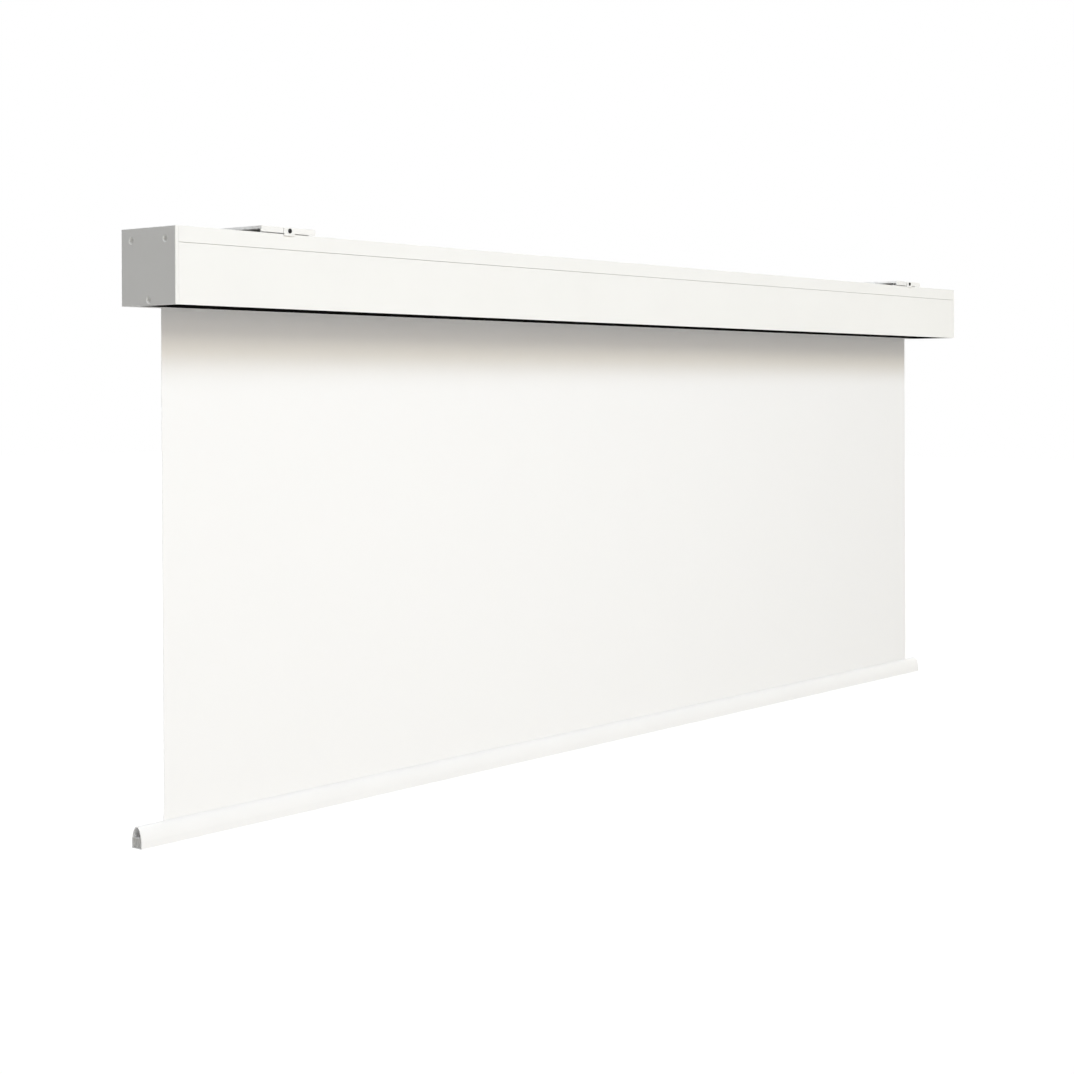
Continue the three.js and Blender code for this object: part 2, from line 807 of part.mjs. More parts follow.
function fabricRollGeometry() {
  const outline = new THREE.Shape();
  const steps = 2 * largeRoundSteps;
  for (let step = 0; step <= steps; step += 1) {
    const share = step / steps;
    const radius = woundRadius - fabricThickness * share;
    const y = rollerY + radius * Math.cos(fullTurn * share);
    const z = rollerZ + radius * Math.sin(fullTurn * share);
    if (step === 0) outline.moveTo(y, z);
    else outline.lineTo(y, z);
  }
  outline.closePath();
  outline.holes.push(new THREE.Path().absarc(rollerY, rollerZ, rollerRadius + fitGap, 0, fullTurn));
  return drawnOut(outline, fabricLeft, fabricRight, largeRoundSteps);
}

// Bottom bar: a bell-shaped extrusion, open above for the hem of the cloth

// One flank of the bell, from the given height up to the slot: straight at first, then
// drawn in to the tip by a power curve
function bellFlank(inset, fromHeight) {
  const halfWidth = barThickness / 2 - inset;
  const straight = barStraightShare * barHeight;
  const rise = barHeight - inset - straight;
  const halfWidthAt = (share) => halfWidth * (1 - share ** barShoulderPower) ** barTipPower;
  const slotShare = (1 - (barSlot / 2 / halfWidth) ** (1 / barTipPower)) ** (1 / barShoulderPower);
  const startShare = Math.max(fromHeight - straight, 0) / rise;
  const points = fromHeight < straight ? [new THREE.Vector2(halfWidth, fromHeight)] : [];
  for (let step = 0; step <= roundSteps; step += 1) {
    const along = Math.sin(quarterTurn * step / roundSteps);
    const share = startShare + (slotShare - startShare) * along;
    points.push(new THREE.Vector2(halfWidthAt(share), straight + rise * share));
  }
  return points;
}

function mirroredFlank(flank) {
  return flank.map((point) => new THREE.Vector2(-point.x, point.y)).reverse();
}

const chamberFlank = bellFlank(barWall, barWebShare * barHeight);

// The hem's loop hangs as high in the upper chamber as the flanks let it
function hemRodHeight() {
  const loop = hemRod + fitGap + fabricThickness + fitGap;
  const seats = chamberFlank
    .filter((point) => point.x < loop)
    .map((point) => point.y - Math.sqrt(loop ** 2 - point.x ** 2));
  return Math.min(...seats);
}

const hemRodZ = barBottom + hemRodHeight();

function barSectionShape() {
  const shift = new THREE.Vector2(fabricY, barBottom);
  const outer = bellFlank(0, 0);
  const contour = [
    ...outer,
    ...[...chamberFlank].reverse(),
    ...mirroredFlank(chamberFlank).reverse(),
    ...mirroredFlank(outer),
  ].map((point) => point.clone().add(shift));
  const shape = new THREE.Shape(contour);
  shape.holes.push(new THREE.Path(lowerChamber(barWall, 0).map((point) => point.add(shift))));
  return shape;
}

// The closed chamber under the web, with a clearance to what fills it
function lowerChamber(wall, clearance) {
  const half = barThickness / 2 - wall - clearance;
  const ceiling = barWebShare * barHeight - wall - clearance;
  const floor = wall + clearance;
  return [
    new THREE.Vector2(-half, floor),
    new THREE.Vector2(half, floor),
    new THREE.Vector2(half, ceiling),
    new THREE.Vector2(-half, ceiling),
  ];
}

function barInsertGeometry(side) {
  const shift = new THREE.Vector2(fabricY, barBottom);
  const outline = new THREE.Shape(lowerChamber(barWall, fitGap).map((point) => point.add(shift)));
  const outer = barEnd - barInsertRecess;
  const plug = drawnOut(outline, outer - barInsertLength, outer);
  const pitch = (barThickness - 2 * barWall) / (barInsertRibs + 1);
  const grooves = Array.from({ length: barInsertRibs }, (_, rib) => {
    const y = fabricY + pitch * (rib - (barInsertRibs - 1) / 2);
    return block(
      outer - barInsertRibDepth,
      outer + cutOverrun,
      y - barInsertRibWidth / 2,
      y + barInsertRibWidth / 2,
      barBottom,
      barTop,
    );
  });
  const insert = cut(plug, ...grooves);
  return side > 0 ? insert : mirroredX(insert);
}

function hemGeometry() {
  const inner = hemRod + fitGap;
  const loop = ring(inner + fabricThickness, inner, fabricY, hemRodZ);
  const neckStart = hemRodZ + inner + fabricThickness / 2;
  const neck = [[fabricY, neckStart], [fabricY, barTop + hemNeckAboveBar]];
  return joined(
    drawnOut(loop, fabricLeft, fabricRight),
    drawnOut(wallSection(neck, 2 * fabricThickness), fabricLeft, fabricRight),
  );
}

function sheetGeometry() {
  return block(
    fabricLeft,
    fabricRight,
    fabricY - fabricThickness / 2,
    fabricY + fabricThickness / 2,
    barTop + hemNeckAboveBar + fitGap,
    rollerZ - fitGap,
  );
}

function ballastGeometry() {
  const floor = barBottom + barWall + fitGap;
  const end = barEnd - ballastInset;
  const half = ballastWidth / 2;
  return block(-end, end, fabricY - half, fabricY + half, floor, floor + ballastHeight);
}

// Ceiling bracket: an inverted channel with a thick web, two hooked legs in the grooves
// and a pocket that keeps the clip's nut from turning

function ceilingBracketGeometry(centreX) {
  const half = bracketWall / 2;
  const fromX = centreX - bracketLength / 2;
  const toX = centreX + bracketLength / 2;
  const flangeFoot = top + bracketFlangeGap;
  const channel = [
    [front + half, flangeFoot],
    [front + half, -half],
    [rear - half, -half],
    [rear - half, flangeFoot],
  ];
  const footZ = top - caseWall - fitGap - bracketLegWall / 2;
  const legFromFront = grooveFromFront + grooveMouth / 2;
  const footReach = grooveFromFront + grooveMouth + grooveUndercut - 2 * fitGap;
  const web = [[front, -bracketWeb / 2], [rear, -bracketWeb / 2]];
  const sections = [wallSection(channel, bracketWall), wallSection(web, bracketWeb)];
  const legs = [[front, 1], [rear, -1]].map(([edge, inward]) => {
    const leg = [
      [edge + inward * legFromFront, -half],
      [edge + inward * legFromFront, footZ],
      [edge + inward * footReach, footZ],
    ];
    const shape = wallSection(leg, inward * bracketLegWall);
    return drawnOut(shape, fromX + bracketLegInset, toX - bracketLegInset);
  });
  const [first, ...others] = sections.map((shape) => drawnOut(shape, fromX, toX));
  const screwZ = top + clipScrewAboveCase;
  const holes = [-ceilingHoleSpacing / 2, ceilingHoleSpacing / 2].map((offset) => (
    rodAlongZ(ceilingHole, -bracketWeb - cutOverrun, cutOverrun, centreX + offset, 0)
  ));
  const clipHole = rodAlongY(
    clipScrewShank + fitGap,
    front - cutOverrun,
    front + bracketWall + cutOverrun,
    centreX,
    screwZ,
  );
  const nutPocket = block(
    centreX - clipNutCorner - fitGap,
    centreX + clipNutCorner + fitGap,
    front + bracketWall,
    front + bracketWall + clipNutThickness + 4 * fitGap,
    -bracketWeb - cutOverrun,
    screwZ + clipNutFlats / 2 + fitGap,
  );
  return cut(joined(first, ...others, ...legs), ...holes, clipHole, nutPocket);
}

function clipGeometry(centreX) {
  const half = clipWidth / 2;
  const low = top - clipLap;
  const high = -clipTopGap;
  const outline = new THREE.Shape();
  outline.moveTo(-half, high);
  outline.lineTo(-half, low + clipCorner);
  outline.absarc(-half + clipCorner, low + clipCorner, clipCorner, fullTurn / 2, 3 * quarterTurn, false);
  outline.absarc(half - clipCorner, low + clipCorner, clipCorner, 3 * quarterTurn, fullTurn, false);
  outline.lineTo(half, high);
  outline.closePath();
  const screwZ = top + clipScrewAboveCase;
  outline.holes.push(new THREE.Path().absarc(0, screwZ, clipScrewShank + fitGap, 0, fullTurn));
  const plate = new THREE.ExtrudeGeometry(outline, {
    depth: clipWall,
    bevelEnabled: false,
    curveSegments: roundSteps / 2,
  });
  plate.rotateX(quarterTurn);
  plate.translate(centreX, front - fitGap, 0);
  return plate;
}

function clipScrewGeometry(centreX) {
  const z = top + clipScrewAboveCase;
  const headBack = front - 2 * fitGap - clipWall;
  const headFront = headBack - clipScrewHeadHeight;
  const tip = front + bracketWall + clipNutThickness + 2 * fitGap;
  return cut(
    joined(
      rodAlongY(clipScrewHead, headFront, headBack, centreX, z),
      rodAlongY(clipScrewShank, headFront, tip, centreX, z),
    ),
    hexagonAlongY(clipScrewSocket, headFront - cutOverrun, headFront + clipScrewSocketDepth, centreX, z),
  );
}

function clipNutGeometry(centreX) {
  const z = top + clipScrewAboveCase;
  const fromY = front + bracketWall + fitGap;
  const nut = hexagonAlongY(clipNutCorner, fromY, fromY + clipNutThickness, centreX, z);
  const boreEnd = fromY + clipNutThickness + cutOverrun;
  const bore = rodAlongY(clipScrewShank + fitGap, fromY - cutOverrun, boreEnd, centreX, z);
  return cut(nut, bore);
}

// Rubber grommet in the rear wall for the motor's lead

function grommetGeometry() {
  const lip = outletFlangeThickness;
  const neck = caseWall + 2 * fitGap;
  const profile = [
    new THREE.Vector2(outletBore, 0),
    new THREE.Vector2(outletFlange, 0),
    new THREE.Vector2(outletFlange, lip),
    new THREE.Vector2(outletGroove, lip),
    new THREE.Vector2(outletGroove, lip + neck),
    new THREE.Vector2(outletFlange, lip + neck),
    new THREE.Vector2(outletFlange, 2 * lip + neck),
    new THREE.Vector2(outletBore, 2 * lip + neck),
    new THREE.Vector2(outletBore, 0),
  ];
  const grommet = new THREE.LatheGeometry(profile, 2 * roundSteps);
  const innerFace = rear - caseWall - fitGap - lip;
  grommet.translate(-endFace + outletFromLeft, innerFace, top - outletFromTop);
  return grommet;
}

// The fixed body: case, caps, carriers and motor

const caseBody = new THREE.Group();
screen.add(caseBody);
place(caseBody, 'case_profile', caseProfileGeometry(), whiteCoat);
place(caseBody, 'front_cover', frontCoverGeometry(), whiteCoat);
place(caseBody, 'underside_panel', undersidePanelGeometry(), blackCoat);
for (const [sideName, side] of [['left', -1], ['right', 1]]) {
  place(caseBody, `end_cap_${sideName}`, endCapGeometry(side), whiteCoat);
  for (const { name, y, z } of screwPlaces) {
    place(caseBody, `cap_screw_${sideName}_${name}`, capScrewGeometry(side, y, z), zincSteel);
  }
}
place(caseBody, 'motor_carrier', motorCarrierGeometry(), zincSteel);
place(caseBody, 'idler_carrier', idlerCarrierGeometry(), zincSteel);
place(caseBody, 'motor_head', motorHeadGeometry(), blackPlastic);
place(caseBody, 'motor_tube', motorTubeGeometry(), zincSteel);
place(caseBody, 'idler_bearing', idlerBearingGeometry(), nylon);
place(caseBody, 'cable_grommet', grommetGeometry(), rubber);
for (const { name, z } of adjusterPlaces) place(caseBody, name, adjusterGeometry(z), nylon);

// The roller and what turns with it

const rollerBody = new THREE.Group();
screen.add(rollerBody);
place(rollerBody, 'roller_tube', rollerTubeGeometry(), bareAluminium);
place(rollerBody, 'motor_crown', motorCrownGeometry(), blackPlastic);
place(rollerBody, 'drive_wheel', driveWheelGeometry(), blackPlastic);
place(rollerBody, 'output_shaft', outputShaftGeometry(), zincSteel);
place(rollerBody, 'idler_plug', idlerPlugGeometry(), blackPlastic);
place(rollerBody, 'idler_pin', idlerPinGeometry(), zincSteel);
place(
  rollerBody,
  'cloth_keder',
  rodAlongX(rollerKeder, fabricLeft, fabricRight, rollerY, rollerZ + keyFromAxis, roundSteps / 2),
  nylon,
);
place(rollerBody, 'fabric_roll', fabricRollGeometry(), screenCloth);

// The cloth and the bar that hangs on it

const barBody = new THREE.Group();
screen.add(barBody);
place(barBody, 'screen_fabric', sheetGeometry(), screenCloth);
place(barBody, 'fabric_hem', hemGeometry(), screenCloth);
place(
  barBody,
  'hem_rod',
  rodAlongX(hemRod, fabricLeft, fabricRight, fabricY, hemRodZ, roundSteps / 2),
  nylon,
);
place(barBody, 'bottom_bar', drawnOut(barSectionShape(), -barEnd, barEnd), whiteCoat);
place(barBody, 'ballast_bar', ballastGeometry(), zincSteel);
place(barBody, 'bar_insert_left', barInsertGeometry(-1), greyPlastic);
place(barBody, 'bar_insert_right', barInsertGeometry(1), greyPlastic);

// The two ceiling brackets, which slide along the grooves

for (const [sideName, side] of [['left', -1], ['right', 1]]) {
  const bracketBody = new THREE.Group();
  const centreX = side * (endFace - bracketFromEnd);
  screen.add(bracketBody);
  place(bracketBody, `ceiling_bracket_${sideName}`, ceilingBracketGeometry(centreX), whiteCoat);
  place(bracketBody, `bracket_clip_${sideName}`, clipGeometry(centreX), whiteCoat);
  place(bracketBody, `clip_screw_${sideName}`, clipScrewGeometry(centreX), darkSteel);
  place(bracketBody, `clip_nut_${sideName}`, clipNutGeometry(centreX), zincSteel);
}

export default screen;
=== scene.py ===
import json
import math

import bmesh
import bpy
from mathutils import Matrix, Vector
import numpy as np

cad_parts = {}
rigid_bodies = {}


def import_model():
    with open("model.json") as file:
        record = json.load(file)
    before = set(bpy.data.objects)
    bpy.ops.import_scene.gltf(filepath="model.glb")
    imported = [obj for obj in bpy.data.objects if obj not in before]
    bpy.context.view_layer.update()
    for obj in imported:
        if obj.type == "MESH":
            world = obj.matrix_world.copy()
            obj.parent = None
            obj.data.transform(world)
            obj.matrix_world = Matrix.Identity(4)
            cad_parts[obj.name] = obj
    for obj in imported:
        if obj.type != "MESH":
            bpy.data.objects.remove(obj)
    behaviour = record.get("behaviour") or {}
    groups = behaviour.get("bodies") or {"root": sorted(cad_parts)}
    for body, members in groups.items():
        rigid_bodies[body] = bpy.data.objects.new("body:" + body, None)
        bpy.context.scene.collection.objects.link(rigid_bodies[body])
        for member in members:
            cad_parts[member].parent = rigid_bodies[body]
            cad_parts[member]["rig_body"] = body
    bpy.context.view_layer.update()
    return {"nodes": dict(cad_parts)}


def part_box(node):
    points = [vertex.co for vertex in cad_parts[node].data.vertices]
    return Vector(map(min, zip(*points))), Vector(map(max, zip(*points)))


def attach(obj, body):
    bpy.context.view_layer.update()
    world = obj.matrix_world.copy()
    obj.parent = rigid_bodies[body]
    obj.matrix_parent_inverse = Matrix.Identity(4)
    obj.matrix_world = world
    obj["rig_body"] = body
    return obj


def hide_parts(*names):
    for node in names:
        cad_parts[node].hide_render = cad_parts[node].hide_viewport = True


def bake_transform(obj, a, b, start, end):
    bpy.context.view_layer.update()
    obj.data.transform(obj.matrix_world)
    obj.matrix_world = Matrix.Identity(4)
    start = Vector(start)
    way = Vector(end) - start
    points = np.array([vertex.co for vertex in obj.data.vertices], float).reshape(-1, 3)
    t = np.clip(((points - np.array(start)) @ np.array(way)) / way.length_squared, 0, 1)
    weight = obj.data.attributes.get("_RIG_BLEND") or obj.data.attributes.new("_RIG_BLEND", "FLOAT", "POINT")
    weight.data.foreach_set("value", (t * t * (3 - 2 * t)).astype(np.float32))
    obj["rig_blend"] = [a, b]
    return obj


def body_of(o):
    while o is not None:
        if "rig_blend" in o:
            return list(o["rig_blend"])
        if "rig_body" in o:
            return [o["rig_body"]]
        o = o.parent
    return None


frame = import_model()
nodes = frame["nodes"]
MM = 0.001
bpy.ops.object.select_all(action="DESELECT")


# Camera. It stands to the left of the screen, a little below the case, and looks along the
# cloth at about fifty degrees. The vertical shift keeps the uprights upright.
camera_place = (-3.2090, -2.3671, -0.2686)
camera_heading, camera_pitch, camera_roll = -0.8848, -0.0078, -0.0027
film_width, lens_length, upward_shift = 36, 65.57, -0.119
sight_reach = 200

bpy.ops.object.camera_add(location=camera_place)
camera = bpy.context.object
camera.name = "camera"
camera.data.sensor_width = film_width
camera.data.lens = lens_length
camera.data.shift_y = upward_shift
camera.data.clip_end = sight_reach
camera.matrix_world = (
    Matrix.Translation(camera_place)
    @ Matrix.Rotation(camera_heading, 4, "Z")
    @ Matrix.Rotation(math.radians(90) + camera_pitch, 4, "X")
    @ Matrix.Rotation(camera_roll, 4, "Z")
)
bpy.context.scene.camera = camera


# Floor and light. A pale floor 2.6 m under the ceiling and a white surround. Four wide soft
# lights stand in front, from below the case to well above it, with one at the front left, one
# at the right, one overhead and one behind.
floor_height = -2.6
floor_reach = 120
floor_grey = 0.6
shadow_share = 0.15
shadow_end, shadow_fade = 3.0, 6.0
seen_white = 1.09
surround_level = 0.1
screen_middle = (0, 0, -0.4)
plain_white = (1.0, 1.0, 1.0)

bpy.context.scene.view_settings.view_transform = "Standard"


def seen_directly(tree):
    """One where a camera, mirror or clear ray arrives, zero for the rays that light the object."""
    path = tree.nodes.new("ShaderNodeLightPath")
    total = path.outputs["Is Camera Ray"]
    for ray in ("Is Glossy Ray", "Is Transmission Ray"):
        either = tree.nodes.new("ShaderNodeMath")
        either.operation = "MAXIMUM"
        tree.links.new(total, either.inputs[0])
        tree.links.new(path.outputs[ray], either.inputs[1])
        total = either.outputs[0]
    return total


bpy.ops.mesh.primitive_plane_add(size=floor_reach, location=(0, 0, floor_height))
floor = bpy.context.object
floor.name = "floor"
floor_paint = bpy.data.materials.new("floor_paint")
floor_paint.use_nodes = True
tree = floor_paint.node_tree
tree.nodes.clear()
matt = tree.nodes.new("ShaderNodeBsdfDiffuse")
matt.inputs["Color"].default_value = (floor_grey, floor_grey, floor_grey, 1)
glow = tree.nodes.new("ShaderNodeEmission")
glow.inputs["Strength"].default_value = seen_white
away = tree.nodes.new("ShaderNodeVectorMath")
away.operation = "LENGTH"
white_share = tree.nodes.new("ShaderNodeMapRange")
white_share.inputs["From Min"].default_value = shadow_end
white_share.inputs["From Max"].default_value = shadow_fade
white_share.inputs["To Min"].default_value = 1 - shadow_share
white_share.inputs["To Max"].default_value = 1
share = tree.nodes.new("ShaderNodeMath")
share.operation = "MULTIPLY"
blend = tree.nodes.new("ShaderNodeMixShader")
result = tree.nodes.new("ShaderNodeOutputMaterial")
tree.links.new(tree.nodes.new("ShaderNodeTexCoord").outputs["Object"], away.inputs[0])
tree.links.new(away.outputs["Value"], white_share.inputs["Value"])
tree.links.new(seen_directly(tree), share.inputs[0])
tree.links.new(white_share.outputs["Result"], share.inputs[1])
tree.links.new(share.outputs[0], blend.inputs["Fac"])
tree.links.new(matt.outputs[0], blend.inputs[1])
tree.links.new(glow.outputs[0], blend.inputs[2])
tree.links.new(blend.outputs[0], result.inputs["Surface"])
floor.data.materials.append(floor_paint)

surround = bpy.context.scene.world or bpy.data.worlds.new("surround")
bpy.context.scene.world = surround
surround.use_nodes = True
tree = surround.node_tree
tree.nodes.clear()
dim = tree.nodes.new("ShaderNodeBackground")
dim.inputs["Color"].default_value = (1, 1, 1, 1)
dim.inputs["Strength"].default_value = surround_level
white = tree.nodes.new("ShaderNodeBackground")
white.inputs["Color"].default_value = (1, 1, 1, 1)
white.inputs["Strength"].default_value = 1
blend = tree.nodes.new("ShaderNodeMixShader")
result = tree.nodes.new("ShaderNodeOutputWorld")
tree.links.new(seen_directly(tree), blend.inputs["Fac"])
tree.links.new(dim.outputs[0], blend.inputs[1])
tree.links.new(white.outputs[0], blend.inputs[2])
tree.links.new(blend.outputs[0], result.inputs["Surface"])


def soft_light(name, place, aim, width, height, power, colour):
    """A wide lamp that the camera doesn't see, turned towards its aim. Metres and watts."""
    bpy.ops.object.light_add(type="AREA", location=place)
    lamp = bpy.context.object
    lamp.name = name
    lamp.data.shape = "RECTANGLE"
    lamp.data.size, lamp.data.size_y = width, height
    lamp.data.energy = power
    lamp.data.color = colour
    lamp.visible_camera = False
    lamp.rotation_euler = (Vector(aim) - Vector(place)).to_track_quat("-Z", "Y").to_euler()


soft_light("fill_light", (-0.8, -6.0, -1.5), (-0.3, 0, -0.5), 5.5, 1.6, 72, (1.0, 0.965, 0.91))
soft_light("low_front_light", (-1.6, -7.0, 1.1), screen_middle, 5.5, 1.9, 42, (1.0, 0.82, 0.64))
soft_light("middle_front_light", (-0.9, -6.2, 2.75), screen_middle, 5.5, 1.7, 128, (1.0, 0.925, 0.74))
soft_light("high_front_light", (-1.5, -5.0, 4.0), screen_middle, 5.0, 1.7, 211, (0.785, 0.88, 1.0))
soft_light("left_light", (-6.2, -3.6, -0.6), (-1.0, 0, -0.5), 3.0, 3.0, 45, (1.0, 0.955, 0.83))
soft_light("right_light", (7.0, 0.0, -0.4), screen_middle, 3.0, 3.0, 165, (1.0, 0.97, 0.81))
soft_light("overhead_light", (0.0, 1.9, 3.6), (0, 1.9, -2.6), 6.0, 4.0, 150, plain_white)
soft_light("rear_light", (0.0, 6.0, 1.4), screen_middle, 5.5, 2.2, 180, plain_white)


# Case profile. One long aluminium extrusion, 2.2 mm thick: roof, rear wall, upper front, the
# undercut grooves for the brackets and the ports for the cap screws. White powder coat, satin,
# with the fine orange peel that such a coat cures to.
coat_white = (0.885, 0.885, 0.88)
coat_drift_cell, coat_drift_shares = 6, (0.985, 1.005)
coat_satin_cell = 40
coat_cell, coat_relief = 900, 0.012 * MM
profile_edge = 0.1
merge_reach = 0.01 * MM
flat_angle, sharp_angle = math.radians(0.5), math.radians(40)


def finish(name, colour, roughness, metallic=0.0, specular=0.5, anisotropic=0.0):
    """A new finish, with its shader and the piece's own coordinates in metres."""
    material = bpy.data.materials.new(name)
    material.use_nodes = True
    tree = material.node_tree
    shader = tree.nodes["Principled BSDF"]
    shader.inputs["Base Color"].default_value = (*colour, 1)
    shader.inputs["Roughness"].default_value = roughness
    shader.inputs["Metallic"].default_value = metallic
    shader.inputs["Specular IOR Level"].default_value = specular
    shader.inputs["Anisotropic"].default_value = anisotropic
    place = tree.nodes.new("ShaderNodeTexCoord").outputs["Object"]
    return material, tree, shader, place


def grain(tree, place, scale, detail=2.0, stretch=(1, 1, 1)):
    """Noise over the surface, with this many cells to a metre, drawn out along short axes."""
    mapping = tree.nodes.new("ShaderNodeMapping")
    mapping.inputs["Scale"].default_value = stretch
    noise = tree.nodes.new("ShaderNodeTexNoise")
    noise.inputs["Scale"].default_value = scale
    noise.inputs["Detail"].default_value = detail
    tree.links.new(place, mapping.inputs["Vector"])
    tree.links.new(mapping.outputs["Vector"], noise.inputs["Vector"])
    return noise.outputs["Fac"]


def spread(tree, source, low, high, darkest=0.3, lightest=0.7):
    """The noise, whose values lie between about 0.3 and 0.7, laid out from low to high."""
    scale = tree.nodes.new("ShaderNodeMapRange")
    scale.inputs["From Min"].default_value = darkest
    scale.inputs["From Max"].default_value = lightest
    scale.inputs["To Min"].default_value = low
    scale.inputs["To Max"].default_value = high
    tree.links.new(source, scale.inputs["Value"])
    return scale.outputs["Result"]


def tint(tree, shader, source, colour, darker, lighter):
    """Colour that drifts with the noise between two shares of its tone."""
    mix = tree.nodes.new("ShaderNodeMix")
    mix.data_type = "RGBA"
    colour_inputs = [socket for socket in mix.inputs if socket.type == "RGBA"]
    for socket, share in zip(colour_inputs, (darker, lighter)):
        socket.default_value = (*(channel * share for channel in colour), 1)
    tree.links.new(spread(tree, source, 0, 1), mix.inputs[0])
    mixed = next(socket for socket in mix.outputs if socket.type == "RGBA")
    tree.links.new(mixed, shader.inputs["Base Color"])


def relief(tree, shader, source, depth):
    """Raised and sunk grain of a real depth in metres."""
    bump = tree.nodes.new("ShaderNodeBump")
    bump.inputs["Strength"].default_value = 1
    bump.inputs["Distance"].default_value = depth
    tree.links.new(source, bump.inputs["Height"])
    tree.links.new(bump.outputs["Normal"], shader.inputs["Normal"])


def powder_coat(name, colour, low, high, specular):
    """Cured powder: an even tone, a satin that wanders, and orange peel a millimetre across."""
    material, tree, shader, place = finish(name, colour, (low + high) / 2, specular=specular)
    tint(tree, shader, grain(tree, place, coat_drift_cell), colour, *coat_drift_shares)
    satin = spread(tree, grain(tree, place, coat_satin_cell), low, high)
    tree.links.new(satin, shader.inputs["Roughness"])
    relief(tree, shader, grain(tree, place, coat_cell), coat_relief)
    return material


white_coat = powder_coat("white_powder_coat", coat_white, low=0.40, high=0.50, specular=0.3)


def select_only(piece):
    """The piece alone is selected and active."""
    bpy.ops.object.select_all(action="DESELECT")
    piece.select_set(True)
    bpy.context.view_layer.objects.active = piece


def apply_modifier(piece, kind, **settings):
    """Adds a modifier with these settings and applies it to the mesh."""
    select_only(piece)
    modifier = piece.modifiers.new(kind.lower(), kind)
    for setting, value in settings.items():
        setattr(modifier, setting, value)
    bpy.ops.object.modifier_apply(modifier=modifier.name)


def stands_for(piece, node, material):
    """The piece takes the node's place, body and slot."""
    piece.data.materials.clear()
    piece.data.materials.append(material)
    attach(piece, body_of(nodes[node])[0])
    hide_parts(node)


def worked(node, word, material, edge, smooth=35, steps=2):
    """A copy of a CAD node, its loose triangles merged and its sharp edges broken, in mm."""
    piece = bpy.data.objects.new(f"{word}_{node}", nodes[node].data.copy())
    bpy.context.scene.collection.objects.link(piece)
    select_only(piece)
    if piece.data.has_custom_normals:
        bpy.ops.mesh.customdata_custom_splitnormals_clear()
    bpy.ops.object.mode_set(mode="EDIT")
    bpy.ops.mesh.select_all(action="SELECT")
    bpy.ops.mesh.remove_doubles(threshold=merge_reach)
    bpy.ops.mesh.dissolve_limited(angle_limit=flat_angle)
    bpy.ops.object.mode_set(mode="OBJECT")
    if edge:
        apply_modifier(
            piece, "BEVEL", width=edge * MM, segments=steps,
            limit_method="ANGLE", angle_limit=sharp_angle,
        )
    bpy.ops.object.shade_smooth_by_angle(angle=math.radians(smooth))
    apply_modifier(piece, "WEIGHTED_NORMAL", keep_sharp=True)
    stands_for(piece, node, material)
    return piece


worked("case_profile", "white", white_coat, profile_edge)


# Cable grommet. A black rubber ring in the rear wall, through which the motor's lead comes
# out. It is moulded with a groove and snaps into the hole.
grommet_flange, grommet_groove, grommet_bore = 9.5 * MM, 7.3 * MM, 4 * MM
grommet_half, grommet_half_groove = 3.2 * MM, 1.4 * MM
grommet_edge, grommet_sides = 0.5 * MM, 48
mould_flow_cell, mould_flow_shares = 25, (0.93, 1.05)
mould_satin_cell, mould_satin_spread = 120, 0.06
ring_merge_reach = 0.001 * MM


def moulded(name, colour, roughness, cell=1800, depth=0.02 * MM):
    """Moulded plastic or rubber: a faint flow in the tone and the fine grain of the mould."""
    material, tree, shader, place = finish(name, colour, roughness)
    flow = grain(tree, place, mould_flow_cell, detail=4)
    tint(tree, shader, flow, colour, *mould_flow_shares)
    satin = spread(
        tree, grain(tree, place, mould_satin_cell),
        roughness - mould_satin_spread, roughness + mould_satin_spread,
    )
    tree.links.new(satin, shader.inputs["Roughness"])
    relief(tree, shader, grain(tree, place, cell, detail=3), depth)
    return material


def drawn_up(name, sides, profile, ring=False):
    """A round piece about Z, drawn up ring by ring. A ring comes back to its start."""
    radius, height = profile[0]
    bpy.ops.object.select_all(action="DESELECT")
    bpy.ops.mesh.primitive_circle_add(
        vertices=sides, radius=radius, fill_type="NOTHING" if ring else "NGON",
    )
    piece = bpy.context.object
    piece.name = name
    bpy.ops.object.mode_set(mode="EDIT")
    bpy.ops.mesh.select_all(action="SELECT")
    bpy.ops.transform.translate(value=(0, 0, height))
    for next_radius, next_height in profile[1:] + (profile[:1] if ring else []):
        rise = {"value": (0, 0, next_height - height)}
        if ring:
            bpy.ops.mesh.extrude_edges_move(TRANSFORM_OT_translate=rise)
        else:
            bpy.ops.mesh.extrude_region_move(TRANSFORM_OT_translate=rise)
        share = next_radius / radius
        bpy.ops.transform.resize(value=(share, share, 1), center_override=(0, 0, next_height))
        radius, height = next_radius, next_height
    bpy.ops.mesh.select_all(action="SELECT")
    bpy.ops.mesh.remove_doubles(threshold=ring_merge_reach)
    bpy.ops.mesh.normals_make_consistent(inside=False)
    bpy.ops.object.mode_set(mode="OBJECT")
    return piece


black_rubber = moulded(
    "black_rubber", (0.02, 0.02, 0.02), roughness=0.8, cell=2500, depth=0.03 * MM,
)
grommet = drawn_up("rubber_cable_grommet", grommet_sides, [
    (grommet_bore, -grommet_half), (grommet_bore, grommet_half),
    (grommet_flange, grommet_half), (grommet_flange, grommet_half_groove),
    (grommet_groove, grommet_half_groove), (grommet_groove, -grommet_half_groove),
    (grommet_flange, -grommet_half_groove), (grommet_flange, -grommet_half),
], ring=True)
apply_modifier(
    grommet, "BEVEL", width=grommet_edge, segments=3,
    limit_method="ANGLE", angle_limit=sharp_angle,
)
bpy.ops.object.shade_smooth_by_angle(angle=sharp_angle)
hole = sum(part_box("cable_grommet"), Vector()) / 2
grommet.data.transform(Matrix.Translation(hole) @ Matrix.Rotation(math.radians(-90), 4, "X"))
stands_for(grommet, "cable_grommet", black_rubber)


